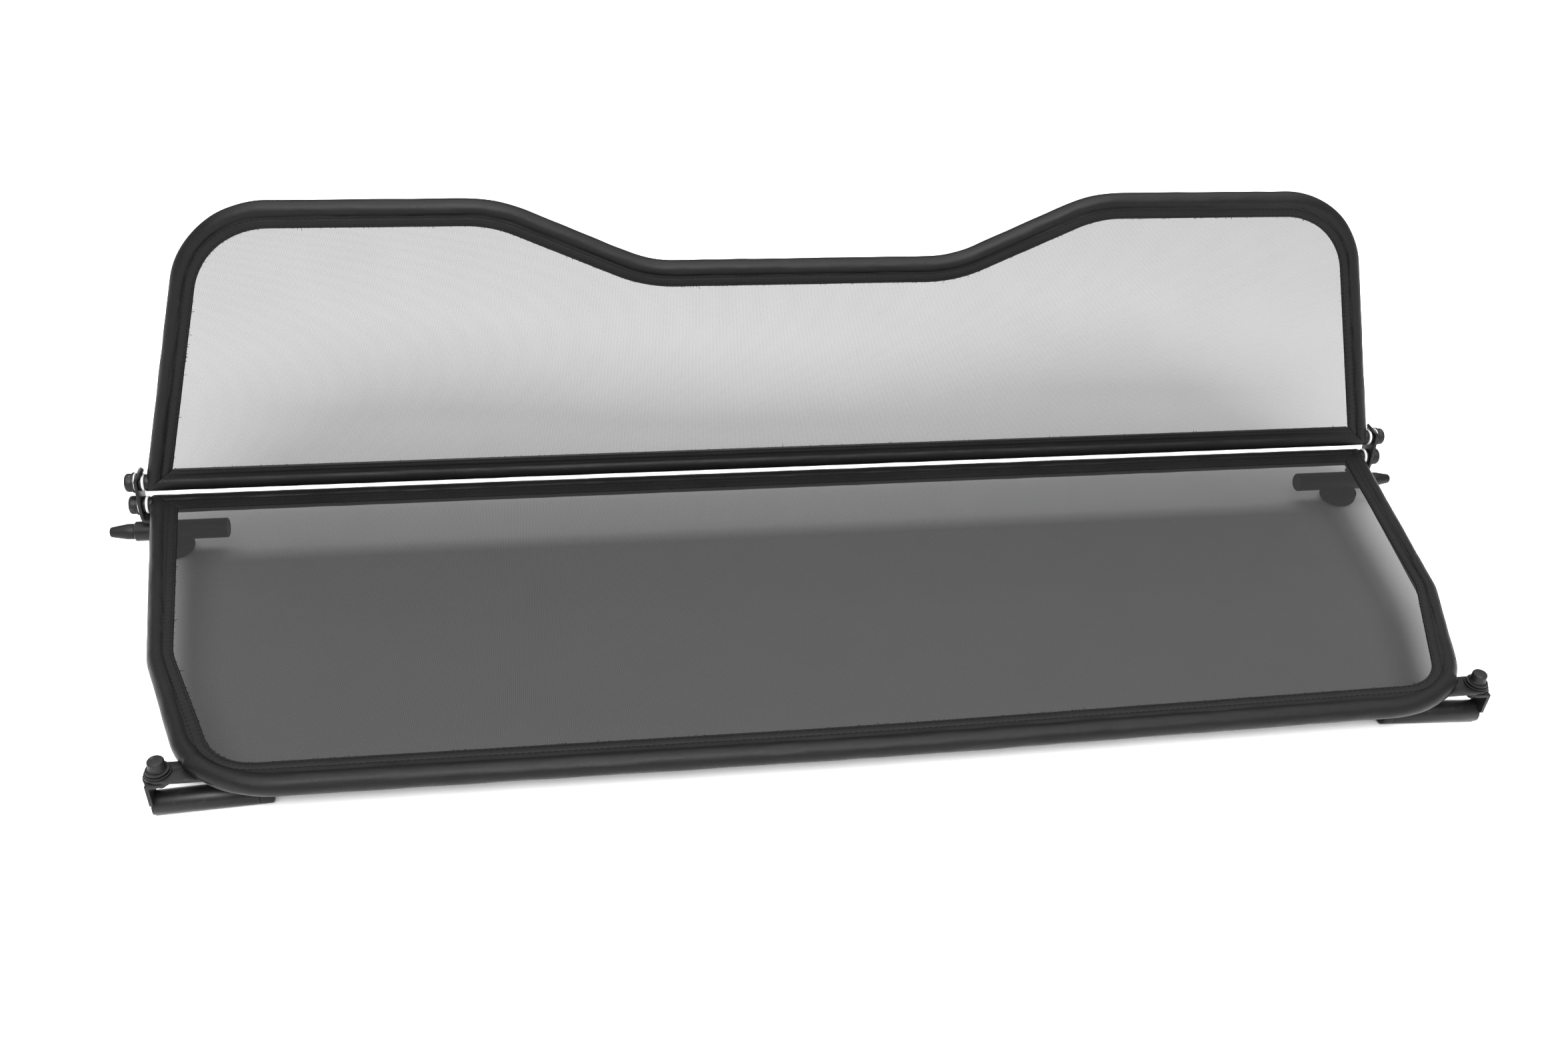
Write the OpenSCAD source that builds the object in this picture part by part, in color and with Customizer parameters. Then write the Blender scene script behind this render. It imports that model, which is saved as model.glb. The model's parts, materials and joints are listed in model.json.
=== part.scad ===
// Folding wind deflector for an open car: a lower screen that lies flat behind the seats, an
// upper screen that stands on it and folds down over it, sprung locking pins at the hinge and
// two arms that swing out from the front corners.
// Everything is drawn about the lower hinge axis, X to the right and -Y to the front, and is
// then stood on the floor. The upper screen is drawn flat in its own plane and then tipped up.

/* [Stance] */
// Tilt of the lower screen, front edge down (degrees)
floor_tilt = 2; // [0:0.5:4]
// Angle from the lower screen to the upper screen, measured behind the hinge (degrees)
screen_angle = 79.2; // [60:0.1:90]
// Distance from the lower hinge axis forward to the middle of the footprint
footprint_mid = 159.8; // [150:0.1:170]

/* [Frame tubes] */
// Outer diameter of the steel tubes
tube_d = 14; // [12:0.5:15]
// Wall of the steel tubes
tube_wall = 1.5; // [1:0.1:2]
// Outer diameter over the leatherette sleeve
sleeve_d = 16.4; // [16:0.1:17]
// Half the width between the side tubes at the hinge
hinge_half_w = 569; // [560:1:570]
// Half the length of the two hinge bars
bar_half_l = 574; // [572:1:575]

/* [Lower screen] */
// Depth from the hinge axis to the front bar at the corners
lower_depth = 355; // [340:1:370]
// How far the front bar bows forward in the middle
front_bow = 4.5; // [2:0.5:8]
// Half width at the front corners
front_half_w = 478; // [470:1:490]
// Half width where the sides bend
side_bend_half_w = 530; // [525:1:540]
// Distance from the hinge axis to the side bends
side_bend_y = 214.5; // [200:1:230]
// Bend radius of the sides
side_bend_r = 78; // [60:1:100]
// Bend radius of the front corners
front_corner_r = 92; // [70:1:100]

/* [Upper screen] */
// Height from the upper hinge axis to the top bar
upper_height = 237; // [220:1:250]
// Half width at the top corners
top_half_w = 508.5; // [495:0.5:520]
// Half width between the inner ends of the two high stretches
crest_half_w = 263; // [250:1:280]
// Half width of the floor of the dip
dip_half_w = 136.5; // [120:0.5:150]
// Depth of the dip below the top bar
dip_depth = 55; // [40:1:60]
// Bend radius of the top corners
top_corner_r = 80; // [60:1:90]
// Bend radius at the edges and the floor of the dip
dip_r = 118; // [100:1:130]

/* [Cover and mesh] */
// Width of the sewn border from the tube centre to the mesh, upper screen
upper_border = 14; // [12:0.5:16]
// Width of the sewn border along the hinge and the front, lower screen
lower_border = 17; // [16:0.5:19]
// Width of the sewn border along the sides, lower screen
side_border = 13.5; // [12:0.5:15]
// Height of the mesh over the tube centres
mesh_rise = 5.5; // [5:0.1:6]
// Thickness of the sewn border
border_t = 2.4; // [2:0.1:3]
// Thickness of the mesh
mesh_t = 0.8; // [0.6:0.1:1]

/* [Hinge] */
// Rise of the upper hinge axis over the lower one
pivot_rise = 21.5; // [20:0.1:24]
// Set-back of the upper hinge axis behind the lower one
pivot_back = 3; // [2:0.1:4]
// Radius of the pivot bolts
pivot_r = 4; // [3:0.1:4.5]
// Radius of the pivot bolt heads
pivot_head_r = 8.2; // [7:0.1:9]
// Thickness of the bracket plate
plate_t = 2.8; // [2:0.1:3]
// Width of the bracket plate
plate_w = 20; // [18:0.5:22]

/* [Locking pins] */
// Outer radius of the pin barrel
barrel_r = 8.9; // [8.5:0.1:9.5]
// Radius of the locking pin
pin_r = 7; // [6:0.1:7.2]
// Drop of the pin axis below the lower hinge axis
pin_drop = 28.5; // [28:0.1:30]
// Travel of the pin
pin_travel = 20; // [12:1:20]
// Distance from the middle to the tip of a pin
pin_tip_x = 616.5; // [612:0.5:620]
// Radius of the thumb knob
knob_r = 17.5; // [14:0.5:18]
// Thickness of the thumb knob
knob_t = 12; // [10:0.5:13]

/* [Front arms] */
// Distance from the middle to an arm's pivot
arm_pivot_x = 507; // [505:0.5:510]
// Distance from the hinge axis forward to the arm pivots
arm_pivot_y = 334; // [330:1:338]
// Radius of an arm tube
arm_r = 9; // [8:0.1:10]
// Length of an arm tube with its end cap
arm_l = 82; // [70:1:95]
// Angle at which the arms are stowed (degrees)
arm_toe = 3; // [0:0.5:5]

/* [Hidden] */
$fn = 64;

black_steel = "#232323";
leatherette = "#2b2b2c";
mesh_grey = "#55565a";
black_plastic = "#1c1c1c";
nylon_white = "#f0f0ee";
zinc = "#9a9a98";

tube_r = tube_d / 2;
sleeve_r = sleeve_d / 2;
bore_r = tube_r - tube_wall;
hair = 0.1;                                 // gap between parts that are fixed together
swell = 0.06;                               // how much fuller a tube is in its bends
lap = 1;                                    // how far a straight runs into a bend
thrust_gap = 0.1;                           // gap between faces that turn on each other
big = 1200;

// Corner points of the tube centre lines, from the right end round to the left end
lower_half = [[hinge_half_w, 0], [side_bend_half_w, -side_bend_y], [front_half_w, -lower_depth]];
lower_path = concat(lower_half, [[0, -lower_depth - front_bow]], mirrored(lower_half));
lower_bow_r = 9000;
lower_radii = [0, side_bend_r, front_corner_r, lower_bow_r, front_corner_r, side_bend_r, 0];
upper_half = [[hinge_half_w, 0], [top_half_w, upper_height], [crest_half_w, upper_height],
              [dip_half_w, upper_height - dip_depth]];
upper_path = concat(upper_half, mirrored(upper_half));
upper_radii = [0, top_corner_r, dip_r, dip_r, dip_r, dip_r, top_corner_r, 0];

// Corner points of the openings in the borders, where the bare mesh shows
lower_open_half = [
    [hinge_half_w - 19, -lower_border],
    [side_bend_half_w - side_border + 1.5, -side_bend_y + 1],
    [front_half_w - side_border + 2.5, -lower_depth + lower_border]];
lower_open = concat(lower_open_half, [[0, -lower_depth - front_bow + lower_border]],
                    mirrored(lower_open_half));
lower_open_radii = [4, side_bend_r - side_border, 62, lower_bow_r, 62,
                    side_bend_r - side_border, 4];
upper_open_half = [
    [hinge_half_w - 17, upper_border],
    [top_half_w - 9.5, upper_height - upper_border],
    [crest_half_w + 5, upper_height - upper_border],
    [dip_half_w + 3, upper_height - dip_depth - upper_border]];
upper_open = concat(upper_open_half, mirrored(upper_open_half));
upper_open_radii = [3, top_corner_r - upper_border, dip_r - upper_border,
                    dip_r + upper_border, dip_r + upper_border, dip_r - upper_border,
                    top_corner_r - upper_border, 3];
mesh_tuck = 7;                              // how far the mesh runs in under the border

// Places along the hinge axes, outward from the tube ends
plug_flange_x = bar_half_l + 4;
spacer_x = plug_flange_x + 2;
plate_x = spacer_x + 2.5;
outer_nylon_x = plate_x + plate_t + thrust_gap;
outer_steel_x = outer_nylon_x + 0.9;
head_x = outer_steel_x + 1.6;
head_h = 6.4;

// The bracket and the barrel under it
flange_drop = 10.6;
flange_t = 2.6;
tab_lean = 50;
plate_top = pivot_rise + 11;
barrel_in_x = 516;
barrel_out_x = 595;
pin_back_x = 559;
knob_x = 565.5;
shank_r = pin_r - 0.2;                      // the part of the pin that stays in the barrel
guide_r = shank_r + 0.08;                   // the bore that it runs in
stud_r = 3;
slot_half_w = stud_r + 0.2;
knob_top_z = -pin_drop - barrel_r - 1.2;
knob_edge_r = 5;

// The stack on each front tab, and the height at which the arms meet the floor
tab_top_z = -1.5;
tab_t = 2.5;
bracket_t = 2.5;
arm_plate_z = tab_top_z - tab_t - thrust_gap;
web_x = 6;
arm_web_r = 11;
arm_nut_z = arm_plate_z - bracket_t - thrust_gap;
knob_foot_z = knob_top_z - knob_t;
knob_foot_r = knob_r - knob_edge_r;
rest_z = knob_foot_z * cos(floor_tilt) - knob_foot_r * sin(floor_tilt);
arm_axis_z = (rest_z + arm_r + arm_pivot_y * sin(floor_tilt)) / cos(floor_tilt);
arm_cap_l = 9;

function unit(v) = v / norm(v);
function mirrored(points) = [for (i = [len(points) - 1:-1:0]) [-points[i].x, points[i].y]];
function half_corner(a, b, c) = acos(unit(a - b) * unit(c - b)) / 2;
function bend_reach(a, b, c, r) = r / tan(half_corner(a, b, c));
function bend_centre(a, b, c, r) =
    b + unit(unit(a - b) + unit(c - b)) * r / sin(half_corner(a, b, c));
function turn(a, b, c) = (180 - 2 * half_corner(a, b, c)) * sign(cross(b - a, c - b));
function bearing(v) = atan2(v.y, v.x);

// The points of one rounded corner, and of a closed outline of them
function corner_points(a, b, c, r, steps = 10) =
    let (o = bend_centre(a, b, c, r),
         first = bearing(b + unit(a - b) * bend_reach(a, b, c, r) - o))
    [for (i = [0:steps]) o + r * [cos(first + turn(a, b, c) * i / steps),
                                  sin(first + turn(a, b, c) * i / steps)]];
function rounded(points, radii) =
    let (n = len(points))
    [for (i = [0:n - 1]) each
        radii[i] == 0 ? [points[i]]
        : corner_points(points[(i + n - 1) % n], points[i], points[(i + 1) % n], radii[i])];

// ---- placing ----

module stand() {
    translate([0, footprint_mid, -rest_z]) rotate([floor_tilt, 0, 0]) children();
}

module tip_up() {
    translate([0, pivot_back, pivot_rise]) rotate([screen_angle, 0, 0]) children();
}

module both_sides() {
    children();
    mirror([1, 0, 0]) children();
}

module on_left() {
    mirror([1, 0, 0]) children();
}

// A round part that runs along X, drawn from its end at x
module along_x(x, y = 0, z = 0) {
    translate([x, y, z]) rotate([90, 0, 90]) children();
}

// ---- tube work ----

module ring(r_out, r_in) {
    difference() {
        circle(r_out);
        if (r_in > 0) circle(r_in);
    }
}

module straight(p, q, r_out, r_in) {
    translate([p.x, p.y, 0]) rotate([0, 0, bearing(q - p)]) rotate([90, 0, 90])
        linear_extrude(norm(q - p)) ring(r_out, r_in);
}

module elbow(a, b, c, r, r_out, r_in) {
    o = bend_centre(a, b, c, r);
    far = turn(a, b, c) > 0 ? a : c;
    from = b + unit(far - b) * bend_reach(a, b, c, r);
    translate([o.x, o.y, 0]) rotate([0, 0, bearing(from - o)])
        rotate_extrude(angle = abs(turn(a, b, c))) translate([r, 0])
            ring(r_out + swell, r_in > 0 ? r_in + swell : 0);
}

// A tube bent along a path, straight between its bends
module bent_tube(path, radii, r_out, r_in = 0) {
    last = len(path) - 1;
    reach = [for (i = [0:last]) i == 0 || i == last ? 0
             : bend_reach(path[i - 1], path[i], path[i + 1], radii[i]) - lap];
    for (i = [0:last - 1])
        let (way = unit(path[i + 1] - path[i]))
        straight(path[i] + way * reach[i], path[i + 1] - way * reach[i + 1], r_out, r_in);
    for (i = [1:last - 1])
        elbow(path[i - 1], path[i], path[i + 1], radii[i], r_out, r_in);
}

module hinge_bar(r, half_l) {
    along_x(-half_l) cylinder(r = r, h = 2 * half_l);
}

module bow_tube(path, radii) {
    difference() {
        bent_tube(path, radii, tube_r, bore_r);
        hinge_bar(tube_r + hair, big / 2);
    }
}

module bar_tube() {
    along_x(-bar_half_l) linear_extrude(2 * bar_half_l) ring(tube_r, bore_r);
}

// ---- border and mesh ----

module mesh_sheet(open, open_radii, grow) {
    translate([0, 0, mesh_rise - mesh_t / 2]) linear_extrude(mesh_t)
        polygon([for (p = rounded(open, open_radii)) p + grow_by(p, open, grow)]);
}

// Pushes a point of an outline outward: sideways by its side, up or down by its half
function grow_by(p, open, grow) =
    let (low = min([for (q = open) q.y]), high = max([for (q = open) q.y]),
         half_w = max([for (q = open) q.x]))
    [grow * p.x / half_w, grow * (2 * (p.y - low) / (high - low) - 1)];

module border_slab(path, radii, open, open_radii) {
    translate([0, 0, mesh_rise - border_t / 2]) linear_extrude(border_t) difference() {
        polygon(rounded(path, radii));
        polygon(rounded(open, open_radii));
    }
}

// The part of the border that belongs to the hinge bar, mitred at both ends
module hinge_border(open, thickness = border_t) {
    corner = open[0];
    translate([0, 0, mesh_rise - thickness / 2]) linear_extrude(thickness)
        polygon([[-hinge_half_w, 0], [hinge_half_w, 0], corner, [-corner.x, corner.y]]);
}

module bow_cover(path, radii, open, open_radii) {
    difference() {
        union() {
            bent_tube(path, radii, sleeve_r);
            border_slab(path, radii, open, open_radii);
        }
        bent_tube(path, radii, tube_r + hair);
        hinge_bar(sleeve_r + hair, big / 2);
        hinge_border(open, border_t + 1);
        mesh_sheet(open, open_radii, mesh_tuck);
    }
}

module bar_cover(path, open, open_radii) {
    difference() {
        union() {
            hinge_bar(sleeve_r, bar_half_l);
            intersection() {
                hinge_border(open);
                translate([-big / 2, -30, mesh_rise - border_t])
                    cube([big, 60, 2 * border_t]);
            }
        }
        hinge_bar(tube_r + hair, bar_half_l + 1);
        both_sides() straight(path[0], path[1], tube_r + hair, 0);
        mesh_sheet(open, open_radii, mesh_tuck);
    }
}

// ---- hinge hardware, at the right end of either hinge axis ----

module end_plug() {
    difference() {
        union() {
            along_x(bar_half_l - 16) cylinder(r = bore_r - hair, h = 17);
            along_x(bar_half_l + hair) cylinder(r = tube_r, h = 4 - 2 * hair);
        }
        along_x(bar_half_l - 17) cylinder(r = pivot_r + 0.02, h = 30);
    }
}

module disc(x, r, t, hole_r) {
    along_x(x) linear_extrude(t) ring(r, hole_r);
}

module pivot_bolt() {
    round_r = 2.4;
    along_x(bar_half_l - 14) cylinder(r = pivot_r, h = head_x - bar_half_l + 14);
    difference() {
        along_x(head_x) rotate_extrude() union() {
            square([pivot_head_r, head_h - round_r]);
            square([pivot_head_r - round_r, head_h]);
            translate([pivot_head_r - round_r, head_h - round_r]) circle(round_r);
        }
        along_x(head_x + head_h - 3.6) cylinder(r = 3.46, h = 4, $fn = 6);
    }
}

module steel_washer() disc(outer_steel_x, pivot_head_r + 1, 1.6 - hair, pivot_r + 0.02);

module nylon_washers() {
    disc(plug_flange_x, 8, 2 - hair, pivot_r + 0.02);
    disc(outer_nylon_x, pivot_head_r + 0.4, 0.9 - hair, pivot_r + 0.02);
}

module spacer() disc(spacer_x, 7.5, 2.5 - thrust_gap, pivot_r + 0.02);

module hinge_bracket() {
    lean = pivot_back / pivot_rise;
    top_y = lean * plate_top;
    low_z = -flange_drop - flange_t;
    half_w = plate_w / 2;
    difference() {
        union() {
            along_x(plate_x) linear_extrude(plate_t) polygon([
                [-half_w, low_z], [half_w, low_z], [half_w, 0],
                [half_w + top_y, plate_top], [-half_w + top_y, plate_top], [-half_w, 0]]);
            translate([560, -half_w, low_z]) cube([plate_x - 560 + plate_t, plate_w, flange_t]);
            top_tab(top_y);
            translate([562, -5, -pin_drop]) cube([18, 10, pin_drop + low_z + 1]);
        }
        along_x(plate_x - 1) cylinder(r = pivot_r + 0.05, h = plate_t + 2);
        along_x(plate_x - 1, pivot_back, pivot_rise)
            cylinder(r = pivot_r + 0.05, h = plate_t + 2);
        along_x(barrel_in_x) cylinder_at_pin(barrel_r + hair, barrel_out_x - barrel_in_x);
    }
}

module cylinder_at_pin(r, h) {
    translate([0, -pin_drop, 0]) cylinder(r = r, h = h);
}

// The short lip at the top of the plate, bent inward over the tube end
module top_tab(top_y) {
    lip = 9;
    corner = 5;
    w = plate_w / 2 - 0.4;
    translate([plate_x + plate_t / 2, top_y, plate_top])
        rotate([0, -tab_lean, 0]) translate([-plate_t / 2, 0, 0]) rotate([90, 0, 90])
        linear_extrude(plate_t) polygon([
            [-w, -1.4], [w, -1.4], [w, lip - corner], [w - 0.3 * corner, lip - 0.3 * corner],
            [w - corner, lip], [corner - w, lip], [0.3 * corner - w, lip - 0.3 * corner],
            [-w, lip - corner]]);
}

module barrel() {
    edge = 0.8;
    mouth = 22;
    mouth_r = pin_r + 0.05;
    length = barrel_out_x - barrel_in_x;
    difference() {
        along_x(barrel_in_x) translate([0, -pin_drop, 0]) rotate_extrude() polygon([
            [guide_r, 0], [barrel_r - edge, 0], [barrel_r, edge],
            [barrel_r, length - edge], [barrel_r - edge, length], [mouth_r, length],
            [mouth_r, length - mouth], [guide_r, length - mouth - 0.2]]);
        translate([0, 0, -pin_drop - barrel_r - 1]) {
            translate([knob_x, 0, 0]) cylinder(r = slot_half_w, h = barrel_r + 1);
            translate([knob_x - pin_travel - 0.2, 0, 0])
                cylinder(r = slot_half_w, h = barrel_r + 1);
            translate([knob_x - pin_travel - 0.2, -slot_half_w, 0])
                cube([pin_travel + 0.2, 2 * slot_half_w, barrel_r + 1]);
        }
    }
}

module barrel_plug() {
    along_x(barrel_in_x + 0.4) cylinder_at_pin(shank_r, 5);
}

module lock_pin() {
    nose = 14.5;
    tip_r = 4.6;
    length = pin_tip_x - pin_back_x;
    shoulder = barrel_out_x + 1 - pin_back_x;   // where the bare end starts
    difference() {
        along_x(pin_back_x) translate([0, -pin_drop, 0]) rotate_extrude() polygon([
            [0, 0], [shank_r - 0.6, 0], [shank_r, 0.6], [shank_r, shoulder - 0.2],
            [pin_r, shoulder], [pin_r, length - nose],
            [tip_r, length - 1], [tip_r - 1, length], [0, length]]);
        translate([knob_x, 0, -pin_drop - pin_r - 1]) cylinder(r = stud_r + 0.02, h = pin_r);
    }
}

module knob_stud() {
    translate([knob_x, 0, knob_top_z - 6]) cylinder(r = stud_r, h = -pin_drop - knob_top_z + 4.8);
}

module knob() {
    flutes = 30;
    difference() {
        translate([knob_x, 0, knob_foot_z]) rotate_extrude() union() {
            translate([0, knob_edge_r]) square([knob_r, knob_t - knob_edge_r]);
            square([knob_r - knob_edge_r, knob_t]);
            intersection() {
                translate([knob_r - knob_edge_r, knob_edge_r]) circle(knob_edge_r);
                square([knob_r, knob_t]);
            }
        }
        for (i = [0:flutes - 1])
            translate([knob_x, 0, knob_foot_z - 1]) rotate([0, 0, i * 360 / flutes])
                translate([knob_r + 0.4, 0, 0]) cylinder(r = 1, h = knob_t + 2, $fn = 24);
        translate([knob_x, 0, knob_top_z - 6]) cylinder(r = stud_r + 0.02, h = 7);
    }
}

// The coil that pushes the pin out, swept round a helix
module spring() {
    turns = 8;
    per_turn = 14;
    sides = 6;
    wire_r = 0.6;
    coil_r = 5.4;
    from_x = barrel_in_x + 5.4 + wire_r + 0.2;
    pitch = (pin_back_x - from_x - wire_r - 0.2) / turns;
    rings = turns * per_turn;
    points = [for (i = [0:rings]) for (k = [0:sides - 1])
        let (a = i * 360 / per_turn, b = k * 360 / sides, r = coil_r + wire_r * cos(b))
        [from_x + pitch * i / per_turn + wire_r * sin(b), r * cos(a), -pin_drop + r * sin(a)]];
    sides_of = [for (i = [0:rings - 1]) for (k = [0:sides - 1])
        let (n = (k + 1) % sides)
        [i * sides + k, i * sides + n, (i + 1) * sides + n, (i + 1) * sides + k]];
    ends = [[for (k = [sides - 1:-1:0]) k], [for (k = [0:sides - 1]) rings * sides + k]];
    polyhedron(points, concat(sides_of, ends), convexity = 8);
}

// ---- front arm, at the right-hand corner ----

module at_arm_pivot() {
    translate([arm_pivot_x, -arm_pivot_y, 0]) children();
}

module stack_disc(z, r, t, hole_r = 3.02) {
    at_arm_pivot() translate([0, 0, z]) linear_extrude(t) ring(r, hole_r);
}

module tab_blank(gap = 0) {
    half_w = 10 + gap;
    translate([0, 0, tab_top_z - tab_t - gap]) linear_extrude(tab_t + 2 * gap) {
        translate([420, -arm_pivot_y - half_w]) square([arm_pivot_x - 420, 2 * half_w]);
        translate([arm_pivot_x, -arm_pivot_y]) circle(half_w);
    }
}

module front_tab() {
    difference() {
        tab_blank();
        bent_tube(lower_path, lower_radii, tube_r + hair);
        translate([0, 0, -20]) linear_extrude(40) polygon(rounded(lower_path, lower_radii));
        at_arm_pivot() translate([0, 0, -20]) cylinder(r = 3.05, h = 40);
    }
}

module arm_bolt() {
    at_arm_pivot() {
        translate([0, 0, arm_nut_z - 8]) cylinder(r = 3, h = 8 - arm_nut_z + 2.6);
        translate([0, 0, 2.45]) cylinder(r = 4.6, h = 3.2, $fn = 6);
    }
}

module arm_cap() {
    at_arm_pivot() difference() {
        translate([0, 0, 2.45]) rotate_extrude() polygon([
            [0, 0], [6.5, 0], [6.5, 0.8], [6.2, 1.2], [5.9, 7], [5.2, 7.9], [0, 8]]);
        translate([0, 0, 2.4]) cylinder(r = 4.65, h = 3.3);
    }
}

module arm_nut() {
    at_arm_pivot() translate([0, 0, arm_nut_z - 5]) difference() {
        cylinder(r = 5.7, h = 5, $fn = 6);
        translate([0, 0, -1]) cylinder(r = 3.02, h = 7);
    }
}

module stowed() {
    at_arm_pivot() rotate([0, 0, -arm_toe]) children();
}

module arm_bracket() {
    stowed() difference() {
        union() {
            translate([0, 0, arm_plate_z - bracket_t]) linear_extrude(bracket_t) {
                circle(arm_web_r);
                translate([0, -arm_web_r]) square([web_x + bracket_t, 2 * arm_web_r]);
            }
            translate([web_x, -arm_web_r, arm_axis_z])
                cube([bracket_t, 2 * arm_web_r, arm_plate_z - arm_axis_z]);
        }
        translate([0, 0, arm_plate_z - 10]) cylinder(r = 3.05, h = 20);
        translate([-20, 0, arm_axis_z]) rotate([90, 0, 90]) cylinder(r = arm_r + hair, h = 60);
        translate([web_x - 1, -20, arm_axis_z - 1]) cube([10, 40, arm_r - 1]);
    }
}

module arm_tube() {
    tube_l = arm_l - arm_cap_l;
    stowed() translate([web_x + bracket_t - tube_l, 0, arm_axis_z]) rotate([90, 0, 90])
        linear_extrude(tube_l) ring(arm_r, arm_r - 1.5);
}

module arm_plugs() {
    out_x = web_x + bracket_t;
    stowed() {
        translate([out_x - arm_l, 0, arm_axis_z]) rotate([90, 0, 90]) rotate_extrude()
            polygon([[0, 0], [arm_r - 1, 0], [arm_r, 1], [arm_r, arm_cap_l - hair],
                     [arm_r - 1.6, arm_cap_l - hair], [arm_r - 1.6, arm_cap_l + 10],
                     [0, arm_cap_l + 10]]);
        translate([out_x - 8, 0, arm_axis_z]) rotate([90, 0, 90])
            cylinder(r = arm_r - 1.6, h = 7.5);
    }
}

// ---- lower screen ----

module lower_rear_bar() stand() color(black_steel) bar_tube();

module lower_bow_tube() stand() color(black_steel) bow_tube(lower_path, lower_radii);

module lower_cover() stand() color(leatherette) difference() {
    bow_cover(lower_path, lower_radii, lower_open, lower_open_radii);
    both_sides() tab_blank(0.1);
}

module lower_rear_cover() stand() color(leatherette)
    bar_cover(lower_path, lower_open, lower_open_radii);

module lower_mesh() stand() color(mesh_grey) mesh_sheet(lower_open, lower_open_radii, mesh_tuck);

module lower_end_plugs() stand() color(black_plastic) both_sides() end_plug();

module lower_pivot_bolts() stand() color(black_steel) both_sides() pivot_bolt();

module lower_steel_washers() stand() color(black_steel) both_sides() steel_washer();

module lower_nylon_washers() stand() color(nylon_white) both_sides() nylon_washers();

module lower_spacers() stand() color(black_plastic) both_sides() spacer();

module front_tabs() stand() color(black_steel) both_sides() front_tab();

module arm_pivot_bolts() stand() color(black_steel) both_sides() arm_bolt();

module arm_bolt_caps() stand() color(black_plastic) both_sides() arm_cap();

module arm_top_washers() stand() color(black_steel) both_sides() stack_disc(1, 8.4, 1.4);

module arm_spring_washers() stand() color(black_steel) both_sides() stack_disc(0.05, 7, 0.9);

module arm_bottom_washers() stand() color(black_plastic) both_sides()
    stack_disc(tab_top_z + hair, 9.3, 1.45);

module arm_nuts() stand() color(black_steel) both_sides() arm_nut();

// ---- upper screen ----

module upper_bottom_bar() stand() tip_up() color(black_steel) bar_tube();

module upper_bow_tube() stand() tip_up() color(black_steel) bow_tube(upper_path, upper_radii);

module upper_cover() stand() tip_up() color(leatherette)
    bow_cover(upper_path, upper_radii, upper_open, upper_open_radii);

module upper_bottom_cover() stand() tip_up() color(leatherette)
    bar_cover(upper_path, upper_open, upper_open_radii);

module upper_mesh() stand() tip_up() color(mesh_grey)
    mesh_sheet(upper_open, upper_open_radii, mesh_tuck);

module upper_end_plugs() stand() tip_up() color(black_plastic) both_sides() end_plug();

module upper_pivot_bolts() stand() tip_up() color(black_steel) both_sides() pivot_bolt();

module upper_steel_washers() stand() tip_up() color(black_steel) both_sides() steel_washer();

module upper_nylon_washers() stand() tip_up() color(nylon_white) both_sides() nylon_washers();

module upper_spacers() stand() tip_up() color(black_plastic) both_sides() spacer();

// ---- hinge brackets, pins and arms ----

module right_hinge_bracket() stand() color(black_steel) hinge_bracket();
module right_barrel() stand() color(black_steel) barrel();
module right_barrel_plug() stand() color(black_plastic) barrel_plug();
module right_spring() stand() color(zinc) spring();
module right_lock_pin() stand() color(black_plastic) lock_pin();
module right_knob() stand() color(black_plastic) knob();
module right_knob_stud() stand() color(zinc) knob_stud();
module right_arm_bracket() stand() color(black_steel) arm_bracket();
module right_arm_tube() stand() color(black_steel) arm_tube();
module right_arm_plugs() stand() color(black_plastic) arm_plugs();

module left_hinge_bracket() stand() color(black_steel) on_left() hinge_bracket();
module left_barrel() stand() color(black_steel) on_left() barrel();
module left_barrel_plug() stand() color(black_plastic) on_left() barrel_plug();
module left_spring() stand() color(zinc) on_left() spring();
module left_lock_pin() stand() color(black_plastic) on_left() lock_pin();
module left_knob() stand() color(black_plastic) on_left() knob();
module left_knob_stud() stand() color(zinc) on_left() knob_stud();
module left_arm_bracket() stand() color(black_steel) on_left() arm_bracket();
module left_arm_tube() stand() color(black_steel) on_left() arm_tube();
module left_arm_plugs() stand() color(black_plastic) on_left() arm_plugs();

lower_rear_bar();
lower_bow_tube();
lower_cover();
lower_rear_cover();
lower_mesh();
lower_end_plugs();
lower_pivot_bolts();
lower_steel_washers();
lower_nylon_washers();
lower_spacers();
front_tabs();
arm_pivot_bolts();
arm_bolt_caps();
arm_top_washers();
arm_spring_washers();
arm_bottom_washers();
arm_nuts();
upper_bottom_bar();
upper_bow_tube();
upper_cover();
upper_bottom_cover();
upper_mesh();
upper_end_plugs();
upper_pivot_bolts();
upper_steel_washers();
upper_nylon_washers();
upper_spacers();
left_hinge_bracket();
left_barrel();
left_barrel_plug();
left_spring();
right_hinge_bracket();
right_barrel();
right_barrel_plug();
right_spring();
left_lock_pin();
left_knob();
left_knob_stud();
right_lock_pin();
right_knob();
right_knob_stud();
left_arm_bracket();
left_arm_tube();
left_arm_plugs();
right_arm_bracket();
right_arm_tube();
right_arm_plugs();
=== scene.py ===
"""Folding wind deflector for an open car: two mesh screens in stitched leatherette frames,
hinged together, with sprung locking pins at the hinge and arms at the front corners."""

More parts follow.
